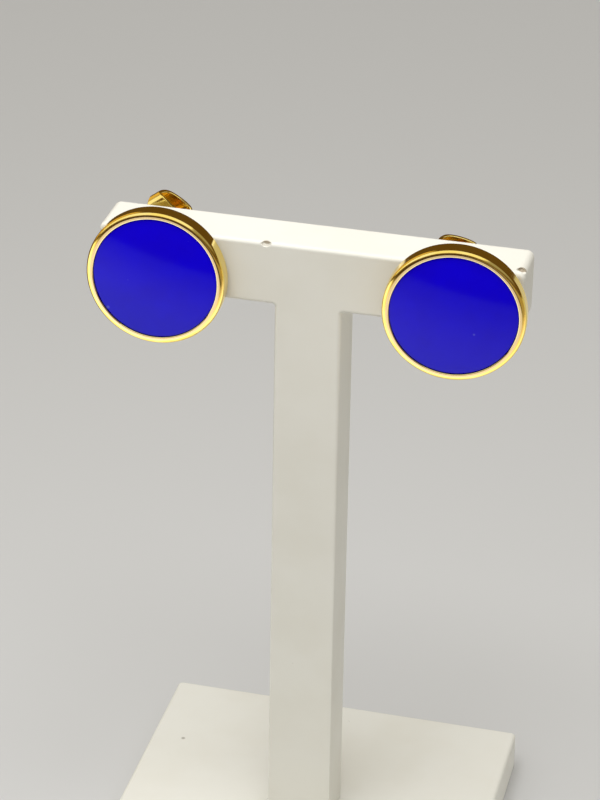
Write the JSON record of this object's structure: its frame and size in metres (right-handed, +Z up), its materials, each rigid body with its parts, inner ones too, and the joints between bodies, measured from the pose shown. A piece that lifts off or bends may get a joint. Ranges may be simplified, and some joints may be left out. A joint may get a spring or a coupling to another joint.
{
  "type": "button earrings on a display stand",
  "caption": "Round enamelled button stud earrings in gold settings, with posts and butterfly clutches, pushed through the crossbar of a white T-shaped display stand.",
  "frame": {"origin": "centre of the base plate's underside, on the surface the stand rests on", "axes": "+X to the viewer's right along the crossbar, +Y away from the viewer, +Z up; the earrings face -Y"},
  "size_m": [0.0476, 0.043, 0.0823],
  "materials": {
    "stand_plastic": "glossy warm white, softly rounded edges",
    "yellow_gold": "polished yellow gold",
    "blue_enamel": "glossy ultramarine enamel"
  },
  "bodies": {
    "root": {"stand_base": "stand_plastic", "stand_tee": "stand_plastic", "left_setting": "yellow_gold", "left_enamel_disc": "blue_enamel", "left_clutch": "yellow_gold", "right_setting": "yellow_gold", "right_enamel_disc": "blue_enamel", "right_clutch": "yellow_gold"}
  },
  "joints": []
}
